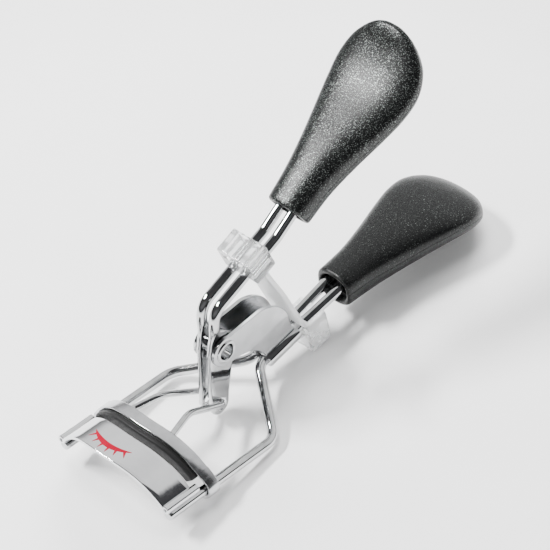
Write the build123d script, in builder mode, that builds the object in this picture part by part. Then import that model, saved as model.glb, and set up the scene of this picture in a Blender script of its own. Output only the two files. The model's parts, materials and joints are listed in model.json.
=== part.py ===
"""Eyelash curler: a wire frame with a curved lash plate, a two-wire lever and a sliding rubber-padded jaw.

The origin is the middle of the pivot rivet. X runs back towards the grips, Y to the left, Z up.
Positions are given in the guide frame, whose X follows the two guide wires. The guide frame leans
back a little in the row frame, because the tool lies on its wire bends and its lower grip.
"""
from build123d import *
import os
from math import cos, radians, sin, tan

os.makedirs("parts", exist_ok=True)

# How the tool lies, in degrees
LEAN = 6.8

# Wires
WIRE_RADIUS = 1.2
ROD_RADIUS = 0.8
GUIDE_LEVEL = -18.5
GUIDE_HALF_SPACING = 16.0
GUIDE_FRONT = -31.6
BEND_X = 1.3
NECK_X = 11.8
NECK_HALF_SPACING = 1.35
TAIL_CLIMB = 14.3
TAIL_LEVEL = -12.3
GRIP_HALF_SPACING = 1.95
BEND_RADIUS = 4.5
RUNNING_GAP = 0.1

# Jaw: the lash plate, and the channel and pad that slide towards it
ARCH_BASE = -18.3
ARCH_RISE = 9.6
ARCH_POWER = 3
ARCH_HALF_SPAN = 17.2
ARCH_STEPS = 16
PLATE_THICKNESS = 0.8
PLATE_HALF_SPAN = 15.8
PLATE_FRONT = -31.8
PLATE_BACK = -23.5
JAW_BOW = 2.9
JAW_MARGIN = 4.0
ROLL_LEVEL = -16.28
ROLL_RADIUS = 1.0
ROLL_BORE_RADIUS = 0.4
ROLL_FRONT = -32.3
ROLL_BACK = -22.7
JAW_OPENING = 1.35
PAD_TOP = 0.4
PAD_BOTTOM = -2.6
PAD_SHOWING = 1.5
PAD_LENGTH = 4.0
PAD_HALF_SPAN = 14.9
CHANNEL_WALL = 0.6
CHANNEL_LENGTH = PAD_LENGTH - PAD_SHOWING + CHANNEL_WALL
CHANNEL_HALF_SPAN = 15.2
HOOK_WALL = 0.8
HOOK_STRAP_SPAN = 17.0

# Lever
BLADE_THICKNESS = 1.2
BLADE_INNER = 1.0
BLADE_EYE_RADIUS = 4.0
BLADE_END_RADIUS = 2.7
BLADE_END = (-1.1, -15.4)
LINK_HOLE_RADIUS = 1.75
LINK_SLACK = 0.8
LEVER_HALF_SPACING = 1.85
LEVER_CLIMB = 25.1
LEVER_LEVEL = 12.5
LEVER_KNEE_X = -2.0

# Pivot bracket and rivet
EAR_THICKNESS = 0.9
EAR_INNER = 2.35
EAR_EYE_RADIUS = 3.8
RIVET_RADIUS = 2.4
RIVET_BORE_RADIUS = 1.95
RIVET_FLANGE_RADIUS = 3.0
RIVET_FLANGE = 0.35
SLEEVE_START = 13.8
SLEEVE_LENGTH = 10.0
SLEEVE_WALL = 0.7
SLEEVE_BULGE = 0.3

# Grips
GRIP_SOCKET = 13.0
UPPER_GRIP_START = (22.9, 23.8)
UPPER_GRIP_CLIMB = 36.5
LOWER_GRIP_CLIMB = 5.5

# Clear spring
UPPER_CLIP_X = 10.6
LOWER_CLIP_X = 28.2
CLIP_HALF_LENGTH = 3.0
UPPER_CLIP_REACH = (4.9, 1.9, 5.4)
LOWER_CLIP_REACH = (3.9, 1.4, 8.5)
CLIP_SKIN = 1.2
CLIP_WEB = 1.4
LEAF_THICKNESS = 1.2
LEAF_HALF_WIDTH = 4.3

# Jaw guides and rods
HOOK_MOUTH = 1.2
ROD_HALF_SPACING = 6.0
ROD_HEIGHT = -9.2
ROD_BEND_RADIUS = 1.2
ROD_OUTSIDE = 3.3
ROD_TIP = 0.5
ROD_CRANK = (-13.0, 4.3, -8.6)

# Outlines in the side view, from the pivot
BLADE_OUTLINE = ((-3.9, 0.6), (-3.5, 4.6), (0.1, 4.6), (3.8, 1.2), (1.5, -15.4), (-3.7, -15.4))
NECK_TOP = (-2.2, 7.9)
NECK_LENGTH = 3.7
NECK_SHIFT = -0.5
NECK_WIDTH = 3.4
NECK_ROOT_THICKNESS = 0.94
NECK_ROOT_ROUNDING = 0.4
KNEE_RADIUS = 4.5
EAR_CREST = ((10.5, 4.8), (16.8, 2.1), (20.3, -4.3))
EAR_TAIL = ((23.0, -9.5), (13.9, -11.9))
EAR_THROAT = ((13.3, -10.2), (9.0, -5.7), (2.4, -3.9))
EAR_SHOULDER = (1.4, 3.4)
RIVET_GAP = 0.06
RIVET_ROLL = 0.2
SLEEVE_GAP = 0.03
SLEEVE_CORNER = 1.85

# Grip shapes, along the grip from its front face
LOWER_GRIP_X = 37.8
LOWER_GRIP_DROP = 1.0
UPPER_WIRE_RISE = 0.9
GRIP_SECTIONS = (
    (0.0, 5.0, 4.4, -4.6),
    (8.0, 5.6, 4.5, -4.8),
    (16.0, 7.2, 4.1, -5.2),
    (24.0, 9.3, 3.4, -5.4),
    (30.5, 10.8, 3.1, -5.2),
    (36.0, 11.2, 3.7, -4.2),
    (40.8, 9.7, 5.0, -2.4),
    (43.7, 7.0, 6.2, -0.4),
    (45.2, 4.6, 6.6, 1.6),
    (46.0, 2.4, 6.3, 3.0),
)
GRIP_SEAM = ((-1, -0.6), (14, -0.6), (25, -1.4), (34, -1.0), (41, 1.4), (47, 4.9))
GRIP_REACH = 16.0
GRIP_CUT = 30.0
GRIP_ROUNDING = 0.42

# Clear spring shapes
CLIP_CORNER = 0.6
LEAF_ROUTE = ((11.9, 0, 15.2), (16.9, 0, 6.3), (21.6, 0, -2.8), (25.1, 0, -7.2))
LEAF_START_HEADING = (0.4, 0, -0.9)
LEAF_END_HEADING = (0.95, 0, 0.2)

GUIDE = Plane(
    origin=(0, 0, 0),
    x_dir=(cos(radians(LEAN)), 0, -sin(radians(LEAN))),
    z_dir=(sin(radians(LEAN)), 0, cos(radians(LEAN))),
)
SIDES = (("left", 1), ("right", -1))


def tail_height(x):
    """Height of the frame wires behind the neck, where they climb towards the lower grip."""
    return TAIL_LEVEL + (x - SLEEVE_START) * tan(radians(TAIL_CLIMB))


def lever_height(x):
    """Height of the lever wires between their knee and the upper grip."""
    return LEVER_LEVEL + x * tan(radians(LEVER_CLIMB))


def heading(climb):
    """A direction in the side view that climbs at this angle from the guide wires."""
    return Vector(cos(radians(climb - LEAN)), 0, sin(radians(climb - LEAN)))


def side_plane(y):
    """The side view at this Y. Its local axes are the guide frame's X and Z, and it faces right."""
    return Plane(origin=(0, y, 0), x_dir=GUIDE.x_dir, z_dir=(0, -1, 0))


def station(x, z, climb):
    """A plane across the tool, facing along a run that climbs. Its local axes are Y and up."""
    return Plane(GUIDE.from_local_coords(Vector(x, 0, z)), x_dir=(0, 1, 0), z_dir=heading(climb))


def jaw_outline(front, back):
    """The plan of a bowed jaw piece, between two parallel arcs that bow forwards."""
    reach = ARCH_HALF_SPAN + JAW_MARGIN
    sweep_back = JAW_BOW * ((reach / ARCH_HALF_SPAN) ** 2 - 1)
    with BuildSketch() as outline:
        with BuildLine():
            head = ThreePointArc(
                (front + sweep_back, -reach), (front - JAW_BOW, 0), (front + sweep_back, reach)
            )
            tail = ThreePointArc(
                (back + sweep_back, -reach), (back - JAW_BOW, 0), (back + sweep_back, reach)
            )
            Line(head @ 0, tail @ 0)
            Line(head @ 1, tail @ 1)
        make_face()
    return outline.sketch


def arch_line(half_span, lift):
    """Points across the jaw on a curve that is parallel to the lash arch, this far above it."""
    points = []
    for step in range(ARCH_STEPS + 1):
        y = half_span * (2 * step / ARCH_STEPS - 1)
        share = abs(y) / ARCH_HALF_SPAN
        slope = -ARCH_POWER * ARCH_RISE / ARCH_HALF_SPAN * share ** (ARCH_POWER - 1)
        slope *= 1 if y >= 0 else -1
        stretch = lift / (1 + slope**2) ** 0.5
        height = ARCH_BASE + ARCH_RISE * (1 - share**ARCH_POWER)
        points.append((y - slope * stretch, height + stretch))
    return points


def arch_band(half_span, bottom, top):
    """The section of a band that follows the lash arch, between two heights above it."""
    with BuildSketch() as band:
        with BuildLine():
            over = Spline(*arch_line(half_span, top))
            under = Spline(*arch_line(half_span, bottom))
            Line(over @ 0, under @ 0)
            Line(over @ 1, under @ 1)
        make_face()
    return band.sketch


def spring_clip(half_width, inner, outer, outer_sign):
    """A moulded loop round a pair of wires, about their middle, with a window on its outer side."""
    window_bottom = WIRE_RADIUS + CLIP_WEB
    window_top = outer - CLIP_SKIN
    with BuildSketch() as clip:
        with Locations((0, outer_sign * (outer - inner) / 2)):
            RectangleRounded(2 * half_width, outer + inner, CLIP_CORNER)
        with Locations((0, outer_sign * (window_top + window_bottom) / 2)):
            RectangleRounded(
                2 * (half_width - CLIP_SKIN), window_top - window_bottom, CLIP_CORNER, mode=Mode.SUBTRACT
            )
    return clip.sketch


ROLL_SPOTS = [(side * GUIDE_HALF_SPACING, ROLL_LEVEL) for _, side in SIDES]
HOOK_EYES = [(side * GUIDE_HALF_SPACING, GUIDE_LEVEL) for _, side in SIDES]
JAW_FLOOR = GUIDE_LEVEL - JAW_MARGIN
JAW_HEIGHT = ARCH_RISE + 2 * JAW_MARGIN

# Guide wires, each one running from the lash plate back through the sleeve into the lower grip
SLEEVE_END = SLEEVE_START + SLEEVE_LENGTH
LOWER_GRIP_START = (LOWER_GRIP_X, tail_height(LOWER_GRIP_X) - LOWER_GRIP_DROP)
LOWER_WIRE_ENTRY = tail_height(LOWER_GRIP_X)
SOCKET_RUN = GRIP_SOCKET * cos(radians(LOWER_GRIP_CLIMB))
SOCKET_FLOOR = LOWER_WIRE_ENTRY + GRIP_SOCKET * sin(radians(LOWER_GRIP_CLIMB))
frame_wires = []
for name, side in SIDES:
    with BuildPart() as frame_wire:
        with BuildLine(GUIDE) as route:
            FilletPolyline(
                (GUIDE_FRONT, side * GUIDE_HALF_SPACING, GUIDE_LEVEL),
                (BEND_X, side * GUIDE_HALF_SPACING, GUIDE_LEVEL),
                (NECK_X, side * NECK_HALF_SPACING, tail_height(NECK_X)),
                (SLEEVE_END, side * NECK_HALF_SPACING, tail_height(SLEEVE_END)),
                (LOWER_GRIP_X, side * GRIP_HALF_SPACING, LOWER_WIRE_ENTRY),
                (LOWER_GRIP_X + SOCKET_RUN, side * GRIP_HALF_SPACING, SOCKET_FLOOR),
                radius=BEND_RADIUS,
            )
        with BuildSketch(Plane(origin=route.line @ 0, z_dir=route.line % 0)):
            Circle(WIRE_RADIUS)
        sweep()
    frame_wire.part.label = f"frame_wire_{name}"
    export_step(frame_wire.part, f"parts/frame_wire_{name}.step")
    frame_wires.append(frame_wire.part)

# Lash plate, an arched sheet whose ends are rolled up and sit on the guide wires
with BuildPart() as lash_plate:
    with BuildSketch(station(PLATE_FRONT - JAW_BOW, 0, 0)):
        add(arch_band(PLATE_HALF_SPAN, -PLATE_THICKNESS, 0))
    extrude(amount=PLATE_BACK - PLATE_FRONT + JAW_BOW)
    with BuildSketch(GUIDE.offset(JAW_FLOOR)):
        add(jaw_outline(PLATE_FRONT, PLATE_BACK))
    extrude(amount=JAW_HEIGHT, mode=Mode.INTERSECT)
    for radius, mode in ((ROLL_RADIUS, Mode.ADD), (ROLL_BORE_RADIUS, Mode.SUBTRACT)):
        with BuildSketch(station(ROLL_FRONT, 0, 0)):
            with Locations(*ROLL_SPOTS):
                Circle(radius)
        extrude(amount=ROLL_BACK - ROLL_FRONT, mode=mode)
lash_plate.part.label = "lash_plate"
export_step(lash_plate.part, "parts/lash_plate.step")

# Lash pad, a rubber strip that the plate's rear edge presses the lashes against
PAD_FRONT = PLATE_BACK + JAW_OPENING
PAD_BACK = PAD_FRONT + PAD_LENGTH
with BuildPart() as lash_pad:
    with BuildSketch(station(PAD_FRONT - JAW_BOW, 0, 0)):
        add(arch_band(PAD_HALF_SPAN, PAD_BOTTOM, PAD_TOP))
    extrude(amount=PAD_LENGTH + JAW_BOW)
    with BuildSketch(GUIDE.offset(JAW_FLOOR)):
        add(jaw_outline(PAD_FRONT, PAD_BACK))
    extrude(amount=JAW_HEIGHT, mode=Mode.INTERSECT)
lash_pad.part.label = "lash_pad"
export_step(lash_pad.part, "parts/lash_pad.step")

# Jaw channel, which holds the pad, and whose ends hook round the guide wires
CHANNEL_FRONT = PAD_FRONT + PAD_SHOWING
CHANNEL_BACK = CHANNEL_FRONT + CHANNEL_LENGTH
CHANNEL_TOP = PAD_TOP + CHANNEL_WALL
CHANNEL_BOTTOM = PAD_BOTTOM - CHANNEL_WALL
with BuildPart() as jaw_channel:
    with BuildSketch(station(CHANNEL_FRONT - JAW_BOW, 0, 0)):
        add(arch_band(CHANNEL_HALF_SPAN, CHANNEL_BOTTOM, CHANNEL_TOP))
        add(arch_band(HOOK_STRAP_SPAN, CHANNEL_TOP - HOOK_WALL, CHANNEL_TOP))
        with Locations(*HOOK_EYES):
            Circle(WIRE_RADIUS + RUNNING_GAP + HOOK_WALL)
            Circle(WIRE_RADIUS + RUNNING_GAP, mode=Mode.SUBTRACT)
        for side_y, level in HOOK_EYES:
            inwards = HOOK_MOUTH if side_y < 0 else -HOOK_MOUTH
            with Locations((side_y + inwards, level - HOOK_MOUTH)):
                Rectangle(2 * HOOK_MOUTH, 2 * HOOK_MOUTH, rotation=45, mode=Mode.SUBTRACT)
    extrude(amount=CHANNEL_LENGTH + JAW_BOW)
    with BuildSketch(GUIDE.offset(JAW_FLOOR)):
        add(jaw_outline(CHANNEL_FRONT, CHANNEL_BACK))
    extrude(amount=JAW_HEIGHT, mode=Mode.INTERSECT)
    add(lash_pad.part, mode=Mode.SUBTRACT)
    for _, side in SIDES:
        with BuildSketch(station(CHANNEL_FRONT - JAW_BOW, ROD_HEIGHT, 0)):
            with Locations((side * ROD_HALF_SPACING, 0)):
                Circle(ROD_RADIUS)
        extrude(amount=CHANNEL_LENGTH + JAW_BOW, mode=Mode.SUBTRACT)
jaw_channel.part.label = "jaw_channel"
export_step(jaw_channel.part, "parts/jaw_channel.step")

# Push rods, from the back of the channel to hooks through the lever's link holes
HOOK_HEIGHT = BLADE_END[1] + LINK_SLACK
ROD_START = CHANNEL_BACK - JAW_BOW * (1 - (ROD_HALF_SPACING / ARCH_HALF_SPAN) ** 2) - CHANNEL_WALL
for name, side in SIDES:
    with BuildPart() as push_rod:
        with BuildLine(GUIDE) as route:
            FilletPolyline(
                (ROD_START, side * ROD_HALF_SPACING, ROD_HEIGHT),
                (ROD_START + 2 * CHANNEL_WALL, side * ROD_HALF_SPACING, ROD_HEIGHT),
                (ROD_CRANK[0], side * ROD_CRANK[1], ROD_CRANK[2]),
                (BLADE_END[0], side * ROD_OUTSIDE, HOOK_HEIGHT),
                (BLADE_END[0], side * ROD_TIP, HOOK_HEIGHT),
                radius=ROD_BEND_RADIUS,
            )
        with BuildSketch(Plane(origin=route.line @ 0, z_dir=route.line % 0)):
            Circle(ROD_RADIUS)
        sweep()
        add(lash_pad.part, mode=Mode.SUBTRACT)
    push_rod.part.label = f"push_rod_{name}"
    export_step(push_rod.part, f"parts/push_rod_{name}.step")

# Lever wires, round above the knee and flattened into a blade below it
BLADE_MIDDLE = BLADE_INNER + BLADE_THICKNESS / 2
UPPER_WIRE_ENTRY = UPPER_GRIP_START[1] + UPPER_WIRE_RISE
UPPER_CORNER_X = (
    (UPPER_WIRE_ENTRY - UPPER_GRIP_START[0] * tan(radians(UPPER_GRIP_CLIMB)) - lever_height(0))
    / (tan(radians(LEVER_CLIMB)) - tan(radians(UPPER_GRIP_CLIMB)))
)
lever_wires = []
for name, side in SIDES:
    outer_face = side * BLADE_MIDDLE + BLADE_THICKNESS / 2
    with BuildPart() as lever_wire:
        with BuildSketch(side_plane(outer_face)):
            Circle(BLADE_EYE_RADIUS)
            with Locations(BLADE_END):
                Circle(BLADE_END_RADIUS)
            with BuildLine():
                Polyline(*BLADE_OUTLINE, close=True)
            make_face()
            Circle(RIVET_RADIUS + RIVET_GAP, mode=Mode.SUBTRACT)
            with Locations(BLADE_END):
                Circle(LINK_HOLE_RADIUS, mode=Mode.SUBTRACT)
        extrude(amount=BLADE_THICKNESS)
        with BuildLine(GUIDE) as route:
            FilletPolyline(
                (NECK_TOP[0], side * LEVER_HALF_SPACING, NECK_TOP[1]),
                (LEVER_KNEE_X, side * LEVER_HALF_SPACING, lever_height(LEVER_KNEE_X)),
                (UPPER_CORNER_X, side * LEVER_HALF_SPACING, lever_height(UPPER_CORNER_X)),
                (
                    UPPER_GRIP_START[0] + GRIP_SOCKET * cos(radians(UPPER_GRIP_CLIMB)),
                    side * LEVER_HALF_SPACING,
                    UPPER_WIRE_ENTRY + GRIP_SOCKET * sin(radians(UPPER_GRIP_CLIMB)),
                ),
                radius=KNEE_RADIUS,
            )
        neck_plane = Plane(origin=route.line @ 0, x_dir=(0, 1, 0), z_dir=route.line % 0)
        with BuildSketch(neck_plane):
            Circle(WIRE_RADIUS)
        sweep()
        with BuildSketch(neck_plane):
            Circle(WIRE_RADIUS)
        with BuildSketch(neck_plane.offset(-NECK_LENGTH)):
            with Locations((side * (BLADE_MIDDLE - LEVER_HALF_SPACING), NECK_SHIFT)):
                RectangleRounded(NECK_ROOT_THICKNESS, NECK_WIDTH, NECK_ROOT_ROUNDING)
        loft()
    lever_wire.part.label = f"lever_wire_{name}"
    export_step(lever_wire.part, f"parts/lever_wire_{name}.step")
    lever_wires.append(lever_wire.part)

# Pivot bracket, folded from sheet: a sleeve round the two frame wires with an ear on each side
with BuildPart() as pivot_bracket:
    sleeve_plane = station(SLEEVE_START, tail_height(SLEEVE_START), TAIL_CLIMB)
    for _, side in SIDES:
        outer_face = side * (EAR_INNER + EAR_THICKNESS / 2) + EAR_THICKNESS / 2
        with BuildSketch(side_plane(outer_face)):
            with BuildLine():
                ThreePointArc(*EAR_CREST)
                ThreePointArc(*EAR_THROAT)
                Polyline(EAR_CREST[-1], *EAR_TAIL, EAR_THROAT[0])
                Polyline(EAR_THROAT[-1], EAR_SHOULDER, EAR_CREST[0])
            make_face()
            Circle(EAR_EYE_RADIUS)
            Circle(RIVET_RADIUS, mode=Mode.SUBTRACT)
        extrude(amount=EAR_THICKNESS)
    with BuildSketch(sleeve_plane):
        sleeve_width = 2 * (EAR_INNER + EAR_THICKNESS + SLEEVE_BULGE)
        RectangleRounded(sleeve_width, 2 * (WIRE_RADIUS + SLEEVE_WALL), SLEEVE_CORNER)
    extrude(amount=SLEEVE_LENGTH)
    with BuildSketch(sleeve_plane.offset(-SLEEVE_LENGTH)):
        SlotOverall(2 * (NECK_HALF_SPACING + WIRE_RADIUS + SLEEVE_GAP), 2 * (WIRE_RADIUS + SLEEVE_GAP))
    extrude(amount=3 * SLEEVE_LENGTH, mode=Mode.SUBTRACT)
pivot_bracket.part.label = "pivot_bracket"
export_step(pivot_bracket.part, "parts/pivot_bracket.step")

# Pivot rivet, a tube rolled over outside both ears, that the lever blades turn on
with BuildPart() as pivot_rivet:
    rivet_end = EAR_INNER + EAR_THICKNESS
    with BuildSketch(side_plane(rivet_end)):
        Circle(RIVET_RADIUS)
    extrude(amount=2 * rivet_end)
    for face_y in (rivet_end + RIVET_FLANGE, -rivet_end):
        with BuildSketch(side_plane(face_y)):
            Circle(RIVET_FLANGE_RADIUS)
        extrude(amount=RIVET_FLANGE)
    fillet(pivot_rivet.edges().group_by(Axis.Y)[0] + pivot_rivet.edges().group_by(Axis.Y)[-1], RIVET_ROLL)
    with BuildSketch(side_plane(rivet_end + RIVET_FLANGE)):
        Circle(RIVET_BORE_RADIUS)
    extrude(amount=2 * (rivet_end + RIVET_FLANGE), mode=Mode.SUBTRACT)
pivot_rivet.part.label = "pivot_rivet"
export_step(pivot_rivet.part, "parts/pivot_rivet.step")

# Grips, two alike: each is an outer and an inner shell, glued round the ends of two wires
GRIPS = (
    ("upper", UPPER_GRIP_START, UPPER_GRIP_CLIMB, (0, -1, 0), lever_wires),
    ("lower", LOWER_GRIP_START, LOWER_GRIP_CLIMB, (0, 1, 0), frame_wires),
)
for name, start, climb, facing, wires in GRIPS:
    start_point = GUIDE.from_local_coords(Vector(start[0], 0, start[1]))
    profile_plane = Plane(start_point, x_dir=heading(climb), z_dir=facing)
    front_plane = Plane(start_point, x_dir=(0, 1, 0), z_dir=heading(climb))
    outward = 1 if name == "upper" else -1
    for shell in ("outer", "inner"):
        with BuildPart() as grip_shell:
            for station_x, half_width, top, bottom in GRIP_SECTIONS:
                with BuildSketch(front_plane.offset(station_x)):
                    with Locations((0, outward * (top + bottom) / 2)):
                        RectangleRounded(2 * half_width, top - bottom, GRIP_ROUNDING * (top - bottom))
            loft()
            with BuildSketch(profile_plane):
                with BuildLine():
                    seam = Spline(*GRIP_SEAM, tangents=[(1, 0), (1, 0.7)])
                    Polyline(seam @ 1, (2 * GRIP_CUT, GRIP_CUT), (GRIP_SEAM[0][0], GRIP_CUT), seam @ 0)
                make_face()
            extrude(
                amount=GRIP_REACH,
                both=True,
                mode=Mode.INTERSECT if shell == "outer" else Mode.SUBTRACT,
            )
            for wire in wires:
                add(wire, mode=Mode.SUBTRACT)
        grip_shell.part.label = f"{name}_grip_{shell}"
        export_step(grip_shell.part, f"parts/{name}_grip_{shell}.step")

# Clear spring, one moulding in three stretches: two clips that thread the wires, and the leaf
CLIPS = (
    ("upper", (UPPER_CLIP_X, lever_height(UPPER_CLIP_X)), LEVER_CLIMB, UPPER_CLIP_REACH, 1, lever_wires),
    ("lower", (LOWER_CLIP_X, tail_height(LOWER_CLIP_X)), TAIL_CLIMB, LOWER_CLIP_REACH, -1, frame_wires),
)
clips = []
for name, centre, climb, reach, outer_sign, wires in CLIPS:
    with BuildPart() as spring_clip_part:
        with BuildSketch(station(*centre, climb).offset(-CLIP_HALF_LENGTH)):
            add(spring_clip(*reach, outer_sign))
        extrude(amount=2 * CLIP_HALF_LENGTH)
        for wire in wires:
            add(wire, mode=Mode.SUBTRACT)
    spring_clip_part.part.label = f"spring_clip_{name}"
    export_step(spring_clip_part.part, f"parts/spring_clip_{name}.step")
    clips.append(spring_clip_part.part)

with BuildPart() as spring_leaf:
    with BuildLine(GUIDE) as leaf_line:
        Spline(*LEAF_ROUTE, tangents=[LEAF_START_HEADING, LEAF_END_HEADING])
    with BuildSketch(Plane(leaf_line.line @ 0, x_dir=(0, 1, 0), z_dir=leaf_line.line % 0)):
        Rectangle(2 * LEAF_HALF_WIDTH, LEAF_THICKNESS)
    sweep()
    for clip in clips:
        add(clip, mode=Mode.SUBTRACT)
spring_leaf.part.label = "spring_leaf"
export_step(spring_leaf.part, "parts/spring_leaf.step")
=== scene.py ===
import bpy, bmesh, json
from math import atan2, ceil, cos, hypot, pi, radians, sin, sqrt, tan
from mathutils import Matrix, Vector


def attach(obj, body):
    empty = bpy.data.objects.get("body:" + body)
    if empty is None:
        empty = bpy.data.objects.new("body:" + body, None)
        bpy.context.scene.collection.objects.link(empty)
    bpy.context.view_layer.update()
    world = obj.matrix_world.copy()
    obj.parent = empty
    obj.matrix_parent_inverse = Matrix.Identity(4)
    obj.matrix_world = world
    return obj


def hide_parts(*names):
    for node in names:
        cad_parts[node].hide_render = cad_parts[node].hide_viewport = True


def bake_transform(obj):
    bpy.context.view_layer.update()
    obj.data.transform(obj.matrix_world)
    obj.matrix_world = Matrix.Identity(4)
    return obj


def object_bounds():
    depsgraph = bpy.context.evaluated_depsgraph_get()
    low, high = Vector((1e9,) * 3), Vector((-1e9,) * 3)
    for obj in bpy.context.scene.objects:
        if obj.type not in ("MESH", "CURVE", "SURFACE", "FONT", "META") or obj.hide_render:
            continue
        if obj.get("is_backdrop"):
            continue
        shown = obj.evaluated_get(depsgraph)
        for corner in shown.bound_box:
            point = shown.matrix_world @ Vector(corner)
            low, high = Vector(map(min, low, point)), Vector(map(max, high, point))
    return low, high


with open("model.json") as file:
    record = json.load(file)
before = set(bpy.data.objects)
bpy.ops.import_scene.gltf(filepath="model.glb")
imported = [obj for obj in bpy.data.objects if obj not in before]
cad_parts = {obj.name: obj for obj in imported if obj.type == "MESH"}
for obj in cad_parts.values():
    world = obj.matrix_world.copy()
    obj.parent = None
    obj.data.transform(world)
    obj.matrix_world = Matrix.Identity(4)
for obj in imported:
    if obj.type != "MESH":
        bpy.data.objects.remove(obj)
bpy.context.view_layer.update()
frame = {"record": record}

MM = 0.001

# ---------------------------------------------------------------- guide frame
# The guide wires lean back a little. The record's slide runs along them, so it gives the lean.
SLIDE = next(j for j in frame["record"]["behaviour"]["joints"] if j["name"] == "jaw_slide")
ALONG = -Vector(SLIDE["axis"]).normalized()
ACROSS = Vector((0, 1, 0))
ABOVE = ALONG.cross(ACROSS).normalized()


def turn(v):
    """A direction in the guide frame, as a direction in the row's frame."""
    return ALONG * v[0] + ACROSS * v[1] + ABOVE * v[2]


def at(x, y, z):
    """A point in the guide frame in millimetres from the pivot, as a point in metres."""
    return turn((x, y, z)) * MM


# ---------------------------------------------------------------- dimensions, as in the CAD
SIDES = (("left", 1), ("right", -1))
UP = Vector((0, 0, 1))

# Wires and rods: radii, heights and distances from the middle
WIRE, ROD = 1.2, 0.8
GUIDE_Z, GUIDE_Y = -18.5, 16.0
GUIDE_FRONT, GUIDE_KNEE_X = -31.6, 1.3
NECK_X, NECK_END_X, NECK_Y = 11.8, 23.8, 1.35
TAIL_START, TAIL_CLIMB = (13.8, -12.3), radians(14.3)
LOWER_GRIP_CLIMB, UPPER_GRIP_CLIMB = radians(5.5), radians(36.5)
GRIP_X, GRIP_WIRE_Y, GRIP_DROP = 37.8, 1.95, 1.0
TUCKED = 13.0
WIRE_BEND = 4.5
ROD_Y, ROD_Z, ROD_START = 6.0, -9.2, -17.55
ROD_HOOK_Z, ROD_HOOK_Y = -14.6, 0.5

# Lever: its wires, flattened into blades below the neck
LEVER_CLIMB, LEVER_LEVEL, LEVER_Y = radians(25.1), 12.5, 1.85
LEVER_KNEE_X = -2.0
NECK_TOP = (-2.2, 7.9)
UPPER_GRIP_START, UPPER_GRIP_WIRE_Z = (22.9, 23.8), 24.7
BLADE_Y, BLADE_HALF = 1.6, 0.6
BLADE_EYE_RADIUS, BLADE_END_RADIUS, BLADE_END = 4.0, 2.7, (-1.1, -15.4)
BLADE_FRONT = ((-15.4, -3.7), (0.6, -3.9), (4.6, -3.5))
BLADE_BACK = ((-15.4, 1.5), (1.2, 3.8), (4.6, 0.1))
BLADE_STEP, BLADE_TOP = 0.9, 3.4
LINK_HOLE, BLADE_HOLE, EAR_HOLE = 1.75, 2.46, 2.4

# Bracket and rivet
EAR_INSIDE, EAR_OUTSIDE, EYE_RADIUS = 2.35, 3.25, 3.8
# Rows of (half width, half height, distance along), out over the sleeve's skin and back inside it
SLEEVE_ROWS = (
    (3.5, 1.7, 0.0), (3.64, 1.86, 0.06), (3.68, 1.9, 0.2), (3.68, 1.9, 9.8), (3.64, 1.86, 9.94),
    (3.5, 1.7, 10.0), (2.75, 1.36, 10.0), (2.62, 1.25, 9.9), (2.62, 1.25, 0.1), (2.75, 1.36, 0.0),
)
RIVET_BORE, RIVET_SHANK, RIVET_RIM = 1.9, 2.38, 2.82

# Jaw: the arch that the eyelid follows, and the strips on it
SPAN, RISE, BASE, BOW = 17.2, 9.6, -18.3, 2.9
PLATE_FRONT, PLATE_BACK, PLATE_HALF_SPAN, SHEET = -31.8, -23.5, 15.75, 0.8
ROLL, ROLL_RADIUS, ROLL_BORE, ROLL_FRONT, ROLL_BACK = (16.0, -16.28), 1.0, 0.42, -32.3, -22.7
PAD_FRONT, PAD_HALF_SPAN, PAD_TOP, PAD_BOTTOM = -22.15, 14.85, 0.4, -2.6
CHANNEL_FRONT, CHANNEL_LENGTH, CHANNEL_HALF_SPAN, WALL = -20.65, 3.1, 15.2, 0.6
STRAP_START, STRAP_END, STRAP_LIFT, STRAP_HALF, HOOK_RADIUS = 14.4, 17.0, 0.66, 0.36, 1.72

# Grips: (distance along, half width, top, bottom), and the parting line as (distance along, height)
GRIP_SECTIONS = (
    (0.0, 5.0, 4.4, -4.6), (8.0, 5.6, 4.5, -4.8), (16.0, 7.2, 4.1, -5.2), (24.0, 9.3, 3.4, -5.4),
    (30.5, 10.8, 3.1, -5.2), (36.0, 11.2, 3.7, -4.2), (40.8, 9.7, 5.0, -2.4), (43.7, 7.0, 6.2, -0.4),
    (45.2, 4.6, 6.6, 1.6), (46.0, 2.4, 6.3, 3.0),
)
GRIP_SEAM = ((-1, -0.6), (14, -0.6), (25, -1.4), (34, -1.0), (41, 1.4), (47, 4.9))
ROUND_SIDES, ROUND_TOP = 2.35, 2.9

# Clear spring
CLIP_HALF_LENGTH, CLIP_WEB, CLIP_SKIN = 3.0, 1.4, 1.2
UPPER_CLIP_X, LOWER_CLIP_X = 10.6, 28.2
LEAF_ROUTE = ((11.9, 0, 15.2), (16.9, 0, 6.3), (21.4, 0, -2.6), (24.7, 0, -7.5))


def tail(x):
    """The height of the frame wires behind the sleeve."""
    return TAIL_START[1] + (x - TAIL_START[0]) * tan(TAIL_CLIMB)


def lever(x):
    """The height of the lever wires above their bend."""
    return LEVER_LEVEL + x * tan(LEVER_CLIMB)


# ---------------------------------------------------------------- materials
def new_material(name):
    mat = bpy.data.materials.new(name)
    mat.use_nodes = True
    tree = mat.node_tree
    shader = next(n for n in tree.nodes if n.type == "BSDF_PRINCIPLED")
    coord = tree.nodes.new("ShaderNodeTexCoord")
    return mat, tree, shader, coord.outputs["Object"]


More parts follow.
